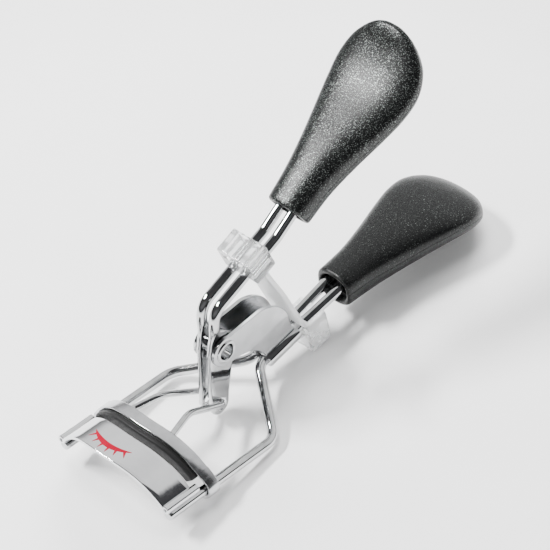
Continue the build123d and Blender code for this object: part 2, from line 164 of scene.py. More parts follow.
def noise(tree, vector, scale, detail=3.0, stretch=None, kind="ShaderNodeTexNoise"):
    if stretch:
        mapping = tree.nodes.new("ShaderNodeMapping")
        mapping.inputs["Scale"].default_value = stretch
        tree.links.new(vector, mapping.inputs["Vector"])
        vector = mapping.outputs["Vector"]
    node = tree.nodes.new(kind)
    node.inputs["Scale"].default_value = scale
    if "Detail" in node.inputs:
        node.inputs["Detail"].default_value = detail
    tree.links.new(vector, node.inputs["Vector"])
    return node.outputs["Fac"] if "Fac" in node.outputs else node.outputs["Distance"]


def ramp(tree, fac, stops):
    """A colour ramp over stops of (place, (red, green, blue))."""
    node = tree.nodes.new("ShaderNodeValToRGB")
    while len(node.color_ramp.elements) < len(stops):
        node.color_ramp.elements.new(0.5)
    for element, (place, colour) in zip(node.color_ramp.elements, stops):
        element.position = place
        element.color = (*colour, 1)
    tree.links.new(fac, node.inputs["Fac"])
    return node.outputs["Color"]


def span(tree, fac, low, high, start=0.3, stop=0.7):
    """The value from start to stop, mapped to low to high."""
    node = tree.nodes.new("ShaderNodeMapRange")
    node.inputs["From Min"].default_value = start
    node.inputs["From Max"].default_value = stop
    node.inputs["To Min"].default_value = low
    node.inputs["To Max"].default_value = high
    tree.links.new(fac, node.inputs["Value"])
    return node.outputs["Result"]


def bump(tree, shader, layers):
    """Bump layers of (height, strength, distance), each on top of the one before."""
    normal = None
    for height, strength, distance in layers:
        node = tree.nodes.new("ShaderNodeBump")
        node.inputs["Strength"].default_value = strength
        node.inputs["Distance"].default_value = distance
        tree.links.new(height, node.inputs["Height"])
        if normal:
            tree.links.new(normal, node.inputs["Normal"])
        normal = node.outputs["Normal"]
    tree.links.new(normal, shader.inputs["Normal"])


def chrome(name, light, dark, rough_low, rough_high, streak, wave):
    """Plated metal: a faint cloudiness, fine rubbed streaks and a slight waviness in its polish."""
    mat, tree, shader, where = new_material(name)
    shader.inputs["Metallic"].default_value = 1.0
    cloud = noise(tree, where, 260, 5)
    fine = noise(tree, where, 900, 6, streak)
    tree.links.new(ramp(tree, cloud, ((0.32, dark), (0.62, light))), shader.inputs["Base Color"])
    tree.links.new(span(tree, fine, rough_low, rough_high), shader.inputs["Roughness"])
    bump(tree, shader, ((noise(tree, where, 150, 2), wave, 0.0004), (fine, 0.04, 0.0001)))
    return mat


CHROME = chrome(
    "chrome_wire_polish", (0.6, 0.605, 0.61), (0.47, 0.475, 0.48), 0.03, 0.1, (1, 1, 1), 0.05
)
SHEET_METAL = chrome(
    "chrome_sheet_polish", (0.56, 0.565, 0.575), (0.47, 0.475, 0.485), 0.12, 0.24, (0.15, 1.0, 1.0), 0.03
)
PLATE_METAL = chrome(
    "lash_plate_polish", (0.74, 0.745, 0.755), (0.7, 0.705, 0.715), 0.04, 0.09, (1.0, 0.12, 1.0), 0.012
)


def speckled(name, share, glint, gloss):
    """Black moulded plastic with fine silvery flakes in it that glitter where the light falls."""
    mat, tree, shader, where = new_material(name)
    fleck = noise(tree, where, 4400, 1.0)
    flake = noise(tree, where, 2600, 0.0, kind="ShaderNodeTexVoronoi")
    drift = noise(tree, where, 90, 2)
    dots = ramp(tree, fleck, ((share, (0.0, 0.0, 0.0)), (share + 0.06, (1.0, 1.0, 1.0))))
    pale = (glint, glint * 1.1, glint * 1.05)
    tint = ramp(tree, drift, ((0.3, tuple(c * 0.35 for c in pale)), (0.7, pale)))
    mix = tree.nodes.new("ShaderNodeMix")
    mix.data_type = "RGBA"
    mix.inputs["A"].default_value = (0.0032, 0.0036, 0.0036, 1)
    tree.links.new(dots, mix.inputs["Factor"])
    tree.links.new(tint, mix.inputs["B"])
    tree.links.new(mix.outputs["Result"], shader.inputs["Base Color"])
    tree.links.new(span(tree, dots, 0.0, 0.75, 0.0, 1.0), shader.inputs["Metallic"])
    tree.links.new(span(tree, fleck, 0.26, 0.38), shader.inputs["Roughness"])
    shader.inputs["Specular IOR Level"].default_value = gloss
    grain = noise(tree, where, 400, 3)
    bump(tree, shader, ((fleck, 0.4, 0.00012), (flake, 0.25, 0.0001), (grain, 0.08, 0.0002)))
    return mat


# Painted light and shade: both grips are the same plastic. The upper copy has denser, brighter flecks as a
# lit copy, and the lower copy has sparser, dimmer flecks as a shaded copy.
UPPER_GRIP = speckled("grip_plastic_speckle", 0.605, 0.27, 0.26)
LOWER_GRIP = speckled("grip_plastic_speckle_painted_shade", 0.65, 0.17, 0.28)


def rubber(name):
    """Black rubber with a faint bloom and a fine grain."""
    mat, tree, shader, where = new_material(name)
    grain = noise(tree, where, 1500, 5)
    bloom = noise(tree, where, 130, 3)
    black = ramp(tree, bloom, ((0.3, (0.006, 0.006, 0.006)), (0.75, (0.014, 0.014, 0.014))))
    tree.links.new(black, shader.inputs["Base Color"])
    tree.links.new(span(tree, grain, 0.42, 0.66), shader.inputs["Roughness"])
    shader.inputs["Specular IOR Level"].default_value = 0.25
    bump(tree, shader, ((grain, 0.15, 0.0001), (noise(tree, where, 300, 2), 0.1, 0.0003)))
    return mat


RUBBER = rubber("pad_rubber_matt")


def clear(name, roughness, passing):
    """Clear moulded plastic: the more light passes, the glassier it is."""
    mat, tree, shader, where = new_material(name)
    shader.inputs["Transmission Weight"].default_value = passing
    shader.inputs["IOR"].default_value = 1.46
    haze = noise(tree, where, 420, 5)
    body = ramp(tree, haze, ((0.3, (0.95, 0.965, 0.97)), (0.7, (1.0, 1.0, 1.0))))
    tree.links.new(body, shader.inputs["Base Color"])
    tree.links.new(span(tree, haze, roughness, roughness + 0.12), shader.inputs["Roughness"])
    bump(tree, shader, ((noise(tree, where, 700, 3), 0.22, 0.0003),))
    return mat


CLEAR = clear("clear_plastic_moulded", 0.05, 0.92)
CLOUDED = clear("clear_plastic_clouded", 0.2, 0.5)
FROSTED = clear("clear_plastic_leaf", 0.36, 0.6)


def ink(name):
    """Printed red, slightly worn."""
    mat, tree, shader, where = new_material(name)
    wear = noise(tree, where, 900, 5)
    red = ramp(tree, wear, ((0.25, (0.22, 0.002, 0.014)), (0.7, (0.27, 0.003, 0.02))))
    tree.links.new(red, shader.inputs["Base Color"])
    tree.links.new(span(tree, wear, 0.55, 0.7), shader.inputs["Roughness"])
    shader.inputs["Specular IOR Level"].default_value = 0.03
    bump(tree, shader, ((wear, 0.1, 0.0001),))
    return mat


RED_INK = ink("mark_print")


# ---------------------------------------------------------------- mesh helpers
def build(name, points, faces, mat, body, nodes=(), sharp=40, bevel=None):
    """A piece from points in the guide frame in millimetres, with sharp edges above this angle."""
    mesh = bpy.data.meshes.new(name)
    mesh.from_pydata([at(*p) for p in points], [], faces)
    bm = bmesh.new()
    bm.from_mesh(mesh)
    bmesh.ops.remove_doubles(bm, verts=bm.verts, dist=1e-6)
    bmesh.ops.recalc_face_normals(bm, faces=bm.faces)
    bm.to_mesh(mesh)
    bm.free()
    for poly in mesh.polygons:
        poly.use_smooth = True
    mesh.set_sharp_from_angle(angle=radians(sharp))
    mesh.materials.append(mat)
    piece = bpy.data.objects.new(name, mesh)
    bpy.context.scene.collection.objects.link(piece)
    if bevel:
        round_edges(piece, *bevel)
    if body:
        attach(piece, body)
    if nodes:
        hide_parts(*nodes)
    return piece


def round_edges(piece, width, segments):
    """Round a piece's sharp edges by this width in millimetres."""
    mod = piece.modifiers.new("edges", "BEVEL")
    mod.width = width * MM
    mod.segments = segments
    mod.limit_method = "ANGLE"
    mod.angle_limit = radians(32)
    mod.harden_normals = True


def rounded_route(corners, radii, arc=14, straight=1.0):
    """A route in straight runs joined by arcs, as points close enough together to look smooth."""
    corners = [Vector(c) for c in corners]
    route = [corners[0]]
    if not isinstance(radii, tuple):
        radii = (radii,) * (len(corners) - 2)
    for before, corner, after, radius in zip(corners, corners[1:], corners[2:], radii):
        come, go = (before - corner).normalized(), (after - corner).normalized()
        bend = pi - come.angle(go)
        cut = radius * tan(bend / 2)
        middle = corner + (come + go).normalized() * hypot(radius, cut)
        start, stop = corner + come * cut - middle, corner + go * cut - middle
        steps = max(3, ceil(arc * bend / (pi / 2)))
        for i in range(steps + 1):
            share = i / steps
            spot = (start * sin((1 - share) * bend) + stop * sin(share * bend)) / sin(bend)
            route.append(middle + spot)
    route.append(corners[-1])
    dense = [route[0]]
    for a, b in zip(route, route[1:]):
        parts = max(1, ceil((b - a).length / straight))
        dense += [a.lerp(b, (i + 1) / parts) for i in range(parts)]
    return dense


def band(first, second, size):
    """The faces between two rings that start at these points."""
    faces = []
    for k in range(size):
        nxt = (k + 1) % size
        faces.append((first + k, first + nxt, second + nxt, second + k))
    return faces


def rings_mesh(rings):
    """Points and faces of a skin over closed rings with equal counts, capped at both ends."""
    size = len(rings[0])
    faces = []
    for r in range(len(rings) - 1):
        faces += band(r * size, (r + 1) * size, size)
    faces.append(tuple(reversed(range(size))))
    faces.append(tuple(range((len(rings) - 1) * size, len(rings) * size)))
    return [p for ring in rings for p in ring], faces


def looped_mesh(rings):
    """Points and faces of a skin over closed rings, the last of which joins the first again."""
    size = len(rings[0])
    faces = []
    for r in range(len(rings)):
        faces += band(r * size, (r + 1) % len(rings) * size, size)
    return [p for ring in rings for p in ring], faces


def tube_rings(route, radius, around=28):
    """Rings round a route, with its two ends slightly rounded over."""
    rings = []
    rounding = ((0.0, 0.7), (0.12, 0.93), (0.35, 1.0))
    side = None
    for i, spot in enumerate(route):
        ahead = route[min(i + 1, len(route) - 1)] - route[max(i - 1, 0)]
        ahead.normalize()
        if side is None:
            side = ahead.orthogonal().normalized()
        side = (side - ahead * side.dot(ahead)).normalized()
        up = ahead.cross(side)
        sizes = [(spot, radius)]
        if i == 0:
            sizes = [(spot + ahead * radius * inset, radius * share) for inset, share in rounding]
        elif i == len(route) - 1:
            sizes = [(spot - ahead * radius * inset, radius * share) for inset, share in reversed(rounding)]
        for centre, r in sizes:
            rings.append([centre + (side * cos(2 * pi * k / around) + up * sin(2 * pi * k / around)) * r
                          for k in range(around)])
    return rings


def wire(name, corners, radius, bend, body, node):
    """A round wire through these corners, bent at these radii."""
    points, faces = rings_mesh(tube_rings(rounded_route(corners, bend), radius))
    return build(name, points, faces, CHROME, body, (node,), sharp=50)


def bore(piece, spot, radius, y0, y1):
    """Cut a round hole across Y through a piece."""
    cut = drill(f"{piece.name}_drill", spot, radius, min(y0, y1) - 1, max(y0, y1) + 1)
    mod = piece.modifiers.new("hole", "BOOLEAN")
    mod.operation = "DIFFERENCE"
    mod.object = cut
    mod.solver = "EXACT"
    apply_modifiers(piece)
    bpy.data.objects.remove(cut, do_unlink=True)
    piece.data.set_sharp_from_angle(angle=radians(38))


def drill(name, spot, radius, y0, y1, around=40):
    """A cylinder across Y to cut with."""
    rings = [[(spot[0] + radius * cos(2 * pi * k / around), y, spot[1] + radius * sin(2 * pi * k / around))
              for k in range(around)] for y in (y0, y1)]
    points, faces = rings_mesh(rings)
    mesh = bpy.data.meshes.new(name)
    mesh.from_pydata([at(*p) for p in points], [], faces)
    bm = bmesh.new()
    bm.from_mesh(mesh)
    bmesh.ops.recalc_face_normals(bm, faces=bm.faces)
    bm.to_mesh(mesh)
    bm.free()
    tool = bpy.data.objects.new(name, mesh)
    bpy.context.scene.collection.objects.link(tool)
    return tool


def apply_modifiers(piece):
    """Bake the piece's modifiers into its mesh."""
    bpy.context.view_layer.update()
    graph = bpy.context.evaluated_depsgraph_get()
    mesh = bpy.data.meshes.new_from_object(piece.evaluated_get(graph))
    piece.modifiers.clear()
    old = piece.data
    piece.data = mesh
    bpy.data.meshes.remove(old)


def superellipse(centre, fore, wide, thick, power, around=36):
    """A ring that goes from an ellipse at power 2 to nearly a rectangle at power 7."""
    ring = []
    for k in range(around):
        c, s = cos(2 * pi * k / around), sin(2 * pi * k / around)
        u = abs(c) ** (2 / power) * (1 if c >= 0 else -1)
        v = abs(s) ** (2 / power) * (1 if s >= 0 else -1)
        ring.append(centre + fore * (wide * u) + ACROSS * (thick * v))
    return ring


def softened(corners, radius, steps=3):
    """A closed outline with each corner rounded off."""
    out = []
    count = len(corners)
    for i in range(count):
        before, corner, after = (Vector(corners[j % count]) for j in (i - 1, i, i + 1))
        come, go = before - corner, after - corner
        cut = min(radius, come.length * 0.45, go.length * 0.45)
        a, b = corner + come.normalized() * cut, corner + go.normalized() * cut
        for k in range(steps + 1):
            t = k / steps
            p = a * (1 - t) ** 2 + corner * (2 * t * (1 - t)) + b * t * t
            out.append((p.x, p.y))
    return out


def hermite(t, start, start_slope, stop, stop_slope):
    """The cubic between two values or points with these slopes, at share t."""
    return (start * (2 * t ** 3 - 3 * t ** 2 + 1) + start_slope * (t ** 3 - 2 * t ** 2 + t)
            + stop * (-2 * t ** 3 + 3 * t ** 2) + stop_slope * (t ** 3 - t ** 2))


# ---------------------------------------------------------------- wires and rods
def guide_wire(name, side):
    """A frame wire: along one side of the jaw, in to the middle and back into the lower grip."""
    entry = tail(GRIP_X)
    wire(f"guide_wire_{name}", (
        (GUIDE_FRONT, side * GUIDE_Y, GUIDE_Z),
        (GUIDE_KNEE_X, side * GUIDE_Y, GUIDE_Z),
        (NECK_X, side * NECK_Y, tail(NECK_X)),
        (NECK_END_X, side * NECK_Y, tail(NECK_END_X)),
        (GRIP_X, side * GRIP_WIRE_Y, entry),
        (GRIP_X + TUCKED * cos(LOWER_GRIP_CLIMB), side * GRIP_WIRE_Y,
         entry + TUCKED * sin(LOWER_GRIP_CLIMB)),
    ), WIRE, WIRE_BEND, "frame", f"frame_wire_{name}")


def jaw_rod(name, side):
    """A push rod from the channel back to the hook in the lever's link hole."""
    start = ROD_START - BOW * (1 - (ROD_Y / SPAN) ** 2) - WALL
    wire(f"jaw_rod_{name}", (
        (start, side * ROD_Y, ROD_Z),
        (start + 1.2, side * ROD_Y, ROD_Z),
        (-13.0, side * 4.3, -8.6),
        (BLADE_END[0], side * 3.3, ROD_HOOK_Z),
        (BLADE_END[0], side * ROD_HOOK_Y, ROD_HOOK_Z),
    ), ROD, (1.2, 6.0, 1.2), "jaw", f"push_rod_{name}")


for name, side in SIDES:
    guide_wire(name, side)
    jaw_rod(name, side)


# ---------------------------------------------------------------- lever wires with flattened blades
def edge_at(z, edge):
    """How far out a blade's edge is at this height, from its (height, x) corners."""
    low, high = next(pair for pair in zip(edge, edge[1:]) if z < pair[1][0] or pair[1] is edge[-1])
    return low[1] + (high[1] - low[1]) * (z - low[0]) / (high[0] - low[0])


def blade_reach(z):
    """How far a blade reaches forwards and back at this height: two round ends and a web between them."""
    low, high = [], []
    for (x, middle), radius in (((0, 0), BLADE_EYE_RADIUS), (BLADE_END, BLADE_END_RADIUS)):
        if abs(z - middle) < radius:
            half = sqrt(radius ** 2 - (z - middle) ** 2)
            low.append(x - half)
            high.append(x + half)
    if BLADE_END[1] <= z <= BLADE_FRONT[-1][0]:
        low.append(edge_at(z, BLADE_FRONT))
        high.append(edge_at(z, BLADE_BACK))
    return min(low), max(high)


def blade_rings(side):
    """Rings up a blade, close together round its lower end, with its lowest edge thinned."""
    heights = [BLADE_END[1] - BLADE_END_RADIUS * cos(radians(a)) for a in (4, 14, 26, 40, 55, 72, 90)]
    heights += [BLADE_END[1] + BLADE_STEP * i for i in range(1, 22)]
    rings = []
    for z in (h for h in heights if h < BLADE_TOP):
        low, high = blade_reach(z)
        thick = BLADE_HALF * (0.7 + 0.3 * min(1.0, z - heights[0] + 0.25))
        centre = Vector(((low + high) / 2, side * BLADE_Y, z))
        rings.append(superellipse(centre, ACROSS.cross(UP), (high - low) / 2, thick, 7))
    return rings


def neck_rings(side, top, count=9):
    """Rings from the blade's flat section to the wire's round one."""
    low, high = blade_reach(BLADE_TOP)
    foot = Vector(((low + high) / 2, side * BLADE_Y, BLADE_TOP))
    flat = (high - low) / 2
    rings = []
    for i in range(count):
        share = i / count
        ease = share * share * (3 - 2 * share)
        spot = foot.lerp(top, share)
        spot.x = foot.x + (top.x - foot.x) * min(1, ease * 1.25)
        wide = flat + (WIRE - flat) * min(1, 1.25 * ease ** 0.8)
        thick = BLADE_HALF + (WIRE - BLADE_HALF) * ease ** 1.5
        rings.append(superellipse(spot, ACROSS.cross(UP), wide, thick, 7 - 5 * ease ** 0.5))
    return rings


def lever_arm(name, side):
    """One lever wire: a flattened blade, the bend above it and the run into the upper grip."""
    rise = UPPER_GRIP_WIRE_Z - UPPER_GRIP_START[0] * tan(UPPER_GRIP_CLIMB) - lever(0)
    corner = rise / (tan(LEVER_CLIMB) - tan(UPPER_GRIP_CLIMB))
    route = rounded_route((
        (NECK_TOP[0], side * LEVER_Y, NECK_TOP[1]),
        (LEVER_KNEE_X, side * LEVER_Y, lever(LEVER_KNEE_X)),
        (corner, side * LEVER_Y, lever(corner)),
        (UPPER_GRIP_START[0] + TUCKED * cos(UPPER_GRIP_CLIMB), side * LEVER_Y,
         UPPER_GRIP_WIRE_Z + TUCKED * sin(UPPER_GRIP_CLIMB)),
    ), WIRE_BEND)
    rings = blade_rings(side) + neck_rings(side, route[0])
    for i, spot in enumerate(route):
        ahead = route[min(i + 1, len(route) - 1)] - route[max(i - 1, 0)]
        fore = ACROSS.cross(ahead.normalized()).normalized()
        rings.append(superellipse(spot, fore, WIRE, WIRE, 2))
    points, faces = rings_mesh(rings)
    piece = build(f"lever_arm_{name}", points, faces, CHROME, "lever", (f"lever_wire_{name}",),
                  sharp=50)
    bore(piece, BLADE_END, LINK_HOLE, side * BLADE_Y - 1, side * BLADE_Y + 1)
    bore(piece, (0, 0), BLADE_HOLE, side * BLADE_Y - 1, side * BLADE_Y + 1)


for name, side in SIDES:
    lever_arm(name, side)


# ---------------------------------------------------------------- bracket and rivet
def arc_points(a, b, c, count=26):
    """Points on the arc from a to c through b."""
    (ax, ay), (bx, by), (cx, cy) = a, b, c
    a2, b2, c2 = ax * ax + ay * ay, bx * bx + by * by, cx * cx + cy * cy
    d = 2 * (ax * (by - cy) + bx * (cy - ay) + cx * (ay - by))
    ux = (a2 * (by - cy) + b2 * (cy - ay) + c2 * (ay - by)) / d
    uy = (a2 * (cx - bx) + b2 * (ax - cx) + c2 * (bx - ax)) / d
    radius = hypot(ax - ux, ay - uy)
    first, middle, last = (atan2(q[1] - uy, q[0] - ux) for q in (a, b, c))
    sweep = (last - first) % (2 * pi)
    if (middle - first) % (2 * pi) > sweep:
        sweep -= 2 * pi
    return [(ux + radius * cos(first + sweep * i / count), uy + radius * sin(first + sweep * i / count))
            for i in range(count + 1)]


def lean_in(piece, crease=6.0, lean=0.113):
    """Bend a plate's lower part in towards the middle, from a crease this far below the pivot."""
    away = turn((-sin(TAIL_CLIMB), 0, cos(TAIL_CLIMB)))
    bm = bmesh.new()
    bm.from_mesh(piece.data)
    bmesh.ops.bisect_plane(bm, geom=bm.verts[:] + bm.edges[:] + bm.faces[:], plane_co=-away * crease * MM,
                           plane_no=away)
    for vert in bm.verts:
        depth = -vert.co.dot(away) - crease * MM
        if depth > 0:
            vert.co.y -= lean * depth * (1 if vert.co.y > 0 else -1)
    bm.to_mesh(piece.data)
    bm.free()


def bracket_ear(name, side):
    """One ear of the bracket: a round eye on the rivet and a lobe that runs back to the sleeve."""
    outline = arc_points((10.5, 4.8), (16.8, 2.1), (20.3, -4.3)) + [(23.0, -9.3), (13.9, -11.7)]
    outline += arc_points((13.3, -10.2), (9.0, -5.7), (2.4, -3.9))
    outline += [(EYE_RADIUS * cos(radians(a)), EYE_RADIUS * sin(radians(a))) for a in range(-84, -292, -6)]
    rings = [[(x, y, z) for x, z in outline] for y in (side * EAR_INSIDE, side * EAR_OUTSIDE)]
    points, faces = rings_mesh(rings)
    nodes = ("pivot_bracket",) if side > 0 else ()
    piece = build(f"bracket_ear_{name}", points, faces, SHEET_METAL, "frame", nodes, 30)
    lean_in(piece)
    bore(piece, (0, 0), EAR_HOLE, side * EAR_INSIDE, side * EAR_OUTSIDE)
    round_edges(piece, 0.2, 4)


def stadium(half, high, count=14):
    """An oval with straight top and bottom and fully round sides, as (sideways, up) pairs."""
    out = []
    for side in (1, -1):
        for i in range(count + 1):
            a = radians(180 * i / count - 90 * side)
            out.append((side * (half - high) + high * cos(a), high * sin(a)))
    return out


def bracket_sleeve():
    """The folded sleeve round the two frame wires, fully rounded at both sides and open through."""
    along = Vector((cos(TAIL_CLIMB), 0, sin(TAIL_CLIMB)))
    away = Vector((-sin(TAIL_CLIMB), 0, cos(TAIL_CLIMB)))
    origin = Vector((TAIL_START[0], 0, TAIL_START[1]))
    rings = [[origin + along * s + away * h + ACROSS * w for w, h in stadium(half, high)]
             for half, high, s in SLEEVE_ROWS]
    points, faces = looped_mesh(rings)
    build("bracket_sleeve", points, faces, CHROME, "frame", (), 50)


def hollow_rivet(around=64):
    """The hollow rivet across the ears, with its two ends rolled over."""
    end = EAR_OUTSIDE
    rim = (RIVET_BORE + RIVET_RIM) / 2
    half = (RIVET_RIM - RIVET_BORE) / 2
    profile = [(RIVET_BORE, 0.0), (RIVET_BORE, end - 0.1)]
    profile += [(rim + half * cos(pi * (1 - i / 12)), end + 0.36 * sin(pi * i / 12)) for i in range(13)]
    profile += [(RIVET_RIM, end), (RIVET_SHANK, end), (RIVET_SHANK, 0.0)]
    profile += [(r, -y) for r, y in reversed(profile[1:-1])]
    rings = [[(r * cos(2 * pi * k / around), y, r * sin(2 * pi * k / around)) for r, y in profile]
             for k in range(around)]
    points, faces = looped_mesh(rings)
    build("hollow_rivet", points, faces, CHROME, "frame", ("pivot_rivet",), 50)


for name, side in SIDES:
    bracket_ear(name, side)
bracket_sleeve()
hollow_rivet()


# ---------------------------------------------------------------- jaw pieces on the lash arch
def arch(y, lift):
    """The lash arch's point at this distance from its middle, raised at right angles to it."""
    share = abs(y) / SPAN
    slope = -3 * RISE / SPAN * share ** 2 * (1 if y >= 0 else -1)
    height = BASE + RISE * (1 - share ** 3)
    stretch = lift / sqrt(1 + slope * slope)
    return y - slope * stretch, height + stretch


def bowed(y, front):
    """How far forward a bowed edge is at this distance from the middle."""
    reach = SPAN + 4
    sag = BOW * (reach / SPAN) ** 2
    radius = (reach ** 2 + sag ** 2) / (2 * sag)
    return front - BOW + radius - sqrt(radius ** 2 - y * y)


def arch_strip(name, section, front, half_span, mat, body, node, steps, sharp, round_over=None):
    """A strip that follows the lash arch, with this section of (back, up) pairs.

    Its upper edges may round over near its two ends, within this distance."""
    rings = []
    for i in range(steps + 1):
        y = half_span * (2 * i / steps - 1)
        scale = 1.0
        if round_over:
            left = 1 - min(1.0, max(0.0, half_span - abs(y)) / round_over)
            scale = 0.35 + 0.65 * sqrt(1 - left ** 2)
        ring = []
        for back, lift in section:
            py, pz = arch(y, lift * scale if lift > -1 else lift)
            ring.append((bowed(y, front) + back, py, pz))
        rings.append(ring)
    points, faces = rings_mesh(rings)
    build(name, points, faces, mat, body, (node,), sharp)


def lash_plate():
    """The bowed plate at the front, one sheet that follows the arch."""
    depth = PLATE_BACK - PLATE_FRONT
    outline = softened(((0, 0), (depth, 0), (depth, -SHEET), (0, -SHEET)), 0.18)
    section = []
    for (x0, z0), (x1, z1) in zip(outline, outline[1:] + outline[:1]):
        parts = max(1, ceil(hypot(x1 - x0, z1 - z0)))
        section += [(x0 + (x1 - x0) * i / parts, z0 + (z1 - z0) * i / parts) for i in range(parts)]
    arch_strip("lash_plate_sheet", section, PLATE_FRONT, PLATE_HALF_SPAN, PLATE_METAL, "frame", "lash_plate",
               110, 60)


def plate_roll(name, side, around=40):
    """The plate's end, rolled up into a small tube."""
    def circle(x, radius):
        turns = (radians(80) - 2 * pi * k / around for k in range(around))
        return [(x, side * (ROLL[0] + radius * cos(a)), ROLL[1] + radius * sin(a)) for a in turns]
    ends = ((ROLL_FRONT, 0.88), (ROLL_FRONT + 0.12, 1.0), (ROLL_BACK - 0.12, 1.0), (ROLL_BACK, 0.88))
    rings = [circle(x, ROLL_RADIUS * grow) for x, grow in ends]
    rings += [circle(x, ROLL_BORE * (2 - grow)) for x, grow in reversed(ends)]
    points, faces = looped_mesh(rings)
    build(f"plate_roll_{name}", points, faces, PLATE_METAL, "frame", (), 40)


def lash_pad():
    """The rubber strip: a rounded nose, and a step where the channel grips it."""
    foot = PAD_BOTTOM + 0.15
    section = softened((
        (0.0, foot), (0.0, -0.1), (0.28, PAD_TOP), (1.2, PAD_TOP), (1.45, 0.12), (1.62, 0.3), (3.9, 0.3),
        (3.9, foot),
    ), 0.16)
    arch_strip("lash_pad_strip", section, PAD_FRONT, PAD_HALF_SPAN, RUBBER, "jaw", "lash_pad",
               90, 32, round_over=1.2)


def jaw_channel():
    """Sheet folded round the pad, open in front."""
    floor_z = PAD_BOTTOM - WALL
    inside = CHANNEL_LENGTH - WALL
    section = softened((
        (0, PAD_TOP), (0, PAD_TOP + WALL), (CHANNEL_LENGTH, PAD_TOP + WALL), (CHANNEL_LENGTH, floor_z),
        (0, floor_z), (0, PAD_BOTTOM), (inside, PAD_BOTTOM), (inside, PAD_TOP),
    ), 0.2)
    arch_strip("jaw_channel_fold", section, CHANNEL_FRONT, CHANNEL_HALF_SPAN, SHEET_METAL, "jaw",
               "jaw_channel", 96, 45)


def guide_hook(name, side):
    """The end of the channel's top wall, which carries on and hooks round the guide wire."""
    line = [arch(STRAP_START + (STRAP_END - STRAP_START) * i / 8, STRAP_LIFT) for i in range(9)]
    for i in range(1, 23):
        a = radians(24 - 174 * i / 22)
        line.append((GUIDE_Y + HOOK_RADIUS * cos(a), GUIDE_Z + HOOK_RADIUS * sin(a)))
    rings = []
    for i, (y, z) in enumerate(line):
        y0, z0 = line[max(i - 1, 0)]
        y1, z1 = line[min(i + 1, len(line) - 1)]
        length = hypot(y1 - y0, z1 - z0)
        ny, nz = -(z1 - z0) / length, (y1 - y0) / length
        trim = 0.35 * max(0, i - len(line) + 4)
        front = bowed(min(y, STRAP_END), CHANNEL_FRONT) + trim
        rear = front + CHANNEL_LENGTH - 2 * trim
        corners = (front, -STRAP_HALF), (front, STRAP_HALF), (rear, STRAP_HALF), (rear, -STRAP_HALF)
        outline = softened(corners, 0.16)
        rings.append([(x, side * (y + ny * n), z + nz * n) for x, n in outline])
    points, faces = rings_mesh(rings)
    build(f"guide_hook_{name}", points, faces, SHEET_METAL, "jaw", (), 50)


lash_plate()
for name, side in SIDES:
    plate_roll(name, side)
lash_pad()
jaw_channel()
for name, side in SIDES:
    guide_hook(name, side)


# ---------------------------------------------------------------- printed mark, a closed eye with lashes
def plate_mark():
    """A plain sign of a shut eye, printed on the plate, as strips of (sideways, back, half width)."""
    middle, half_length, lid_back, sag = 1.6, 5.6, 2.9, 1.7
    lid = []
    for i in range(33):
        t = i / 32 * 2 - 1
        lid.append((middle + t * half_length, lid_back + sag * t * t, 0.08 + 0.62 * (1 - t * t)))
    strips = [lid]
    for t in (-0.8, -0.48, -0.16, 0.16, 0.48, 0.8):
        y, x = middle + t * half_length, lid_back + sag * t * t - 0.3
        reach = 1.75 - 0.5 * t * t
        strips.append([(y + 1.3 * t * s, x - reach * s, 0.34 * (1 - 0.85 * s))
                       for s in (0.0, 0.25, 0.5, 0.75, 1.0)])
    points, faces = [], []
    for strip in strips:
        first = len(points)
        for i, (y, back, half) in enumerate(strip):
            y0, b0, _ = strip[max(i - 1, 0)]
            y1, b1, _ = strip[min(i + 1, len(strip) - 1)]
            length = hypot(y1 - y0, b1 - b0)
            ny, nb = -(b1 - b0) / length, (y1 - y0) / length
            for sign in (-1, 1):
                yy, bb = y + sign * ny * half, back + sign * nb * half
                for lift in (0.015, -0.03):
                    points.append((bowed(yy, PLATE_FRONT) + bb, *arch(yy, lift)))
        last = first + 4 * (len(strip) - 1)
        for a in range(first, last, 4):
            b = a + 4
            faces += [(a, a + 2, b + 2, b), (a + 1, b + 1, b + 3, a + 3), (a, b, b + 1, a + 1),
                      (a + 2, a + 3, b + 3, b + 2)]
        faces += [(first, first + 1, first + 3, first + 2), (last, last + 2, last + 3, last + 1)]
    build("plate_mark", points, faces, RED_INK, "frame", (), 30)


plate_mark()


# ---------------------------------------------------------------- grips
def through(knots, x):
    """A smooth value through knots of (x, value), by cubic Hermite pieces."""
    xs = [k[0] for k in knots]
    x = min(max(x, xs[0]), xs[-1])
    i = max(0, min(len(xs) - 2, sum(1 for v in xs if v <= x) - 1))

    def slope(j):
        a, b = max(j - 1, 0), min(j + 1, len(knots) - 1)
        return (knots[b][1] - knots[a][1]) / (knots[b][0] - knots[a][0])
    h = xs[i + 1] - xs[i]
    return hermite((x - xs[i]) / h, knots[i][1], slope(i) * h, knots[i + 1][1], slope(i + 1) * h)


def grip_outline(s, inset, steps=240):
    """The grip's section at this station, as points that go round it."""
    half, top, bottom = (through([(k[0], k[n]) for k in GRIP_SECTIONS], s) for n in (1, 2, 3))
    high = (top - bottom) / 2 - inset
    middle = (top + bottom) / 2
    out = []
    for k in range(steps):
        c, d = cos(2 * pi * k / steps), sin(2 * pi * k / steps)
        u = abs(c) ** (2 / ROUND_SIDES) * (1 if c >= 0 else -1)
        v = abs(d) ** (2 / ROUND_TOP) * (1 if d >= 0 else -1)
        out.append(((half - inset) * u, middle + high * v))
    return out


def resampled(run, count):
    """The same line as evenly spaced points."""
    lengths = [0.0]
    for a, b in zip(run, run[1:]):
        lengths.append(lengths[-1] + hypot(b[0] - a[0], b[1] - a[1]))
    out, j = [], 0
    for i in range(count + 1):
        want = lengths[-1] * i / count
        while j < len(run) - 2 and lengths[j + 1] < want:
            j += 1
        t = (want - lengths[j]) / ((lengths[j + 1] - lengths[j]) or 1)
        (ax, ay), (bx, by) = run[j], run[j + 1]
        out.append((ax + (bx - ax) * t, ay + (by - ay) * t))
    return out


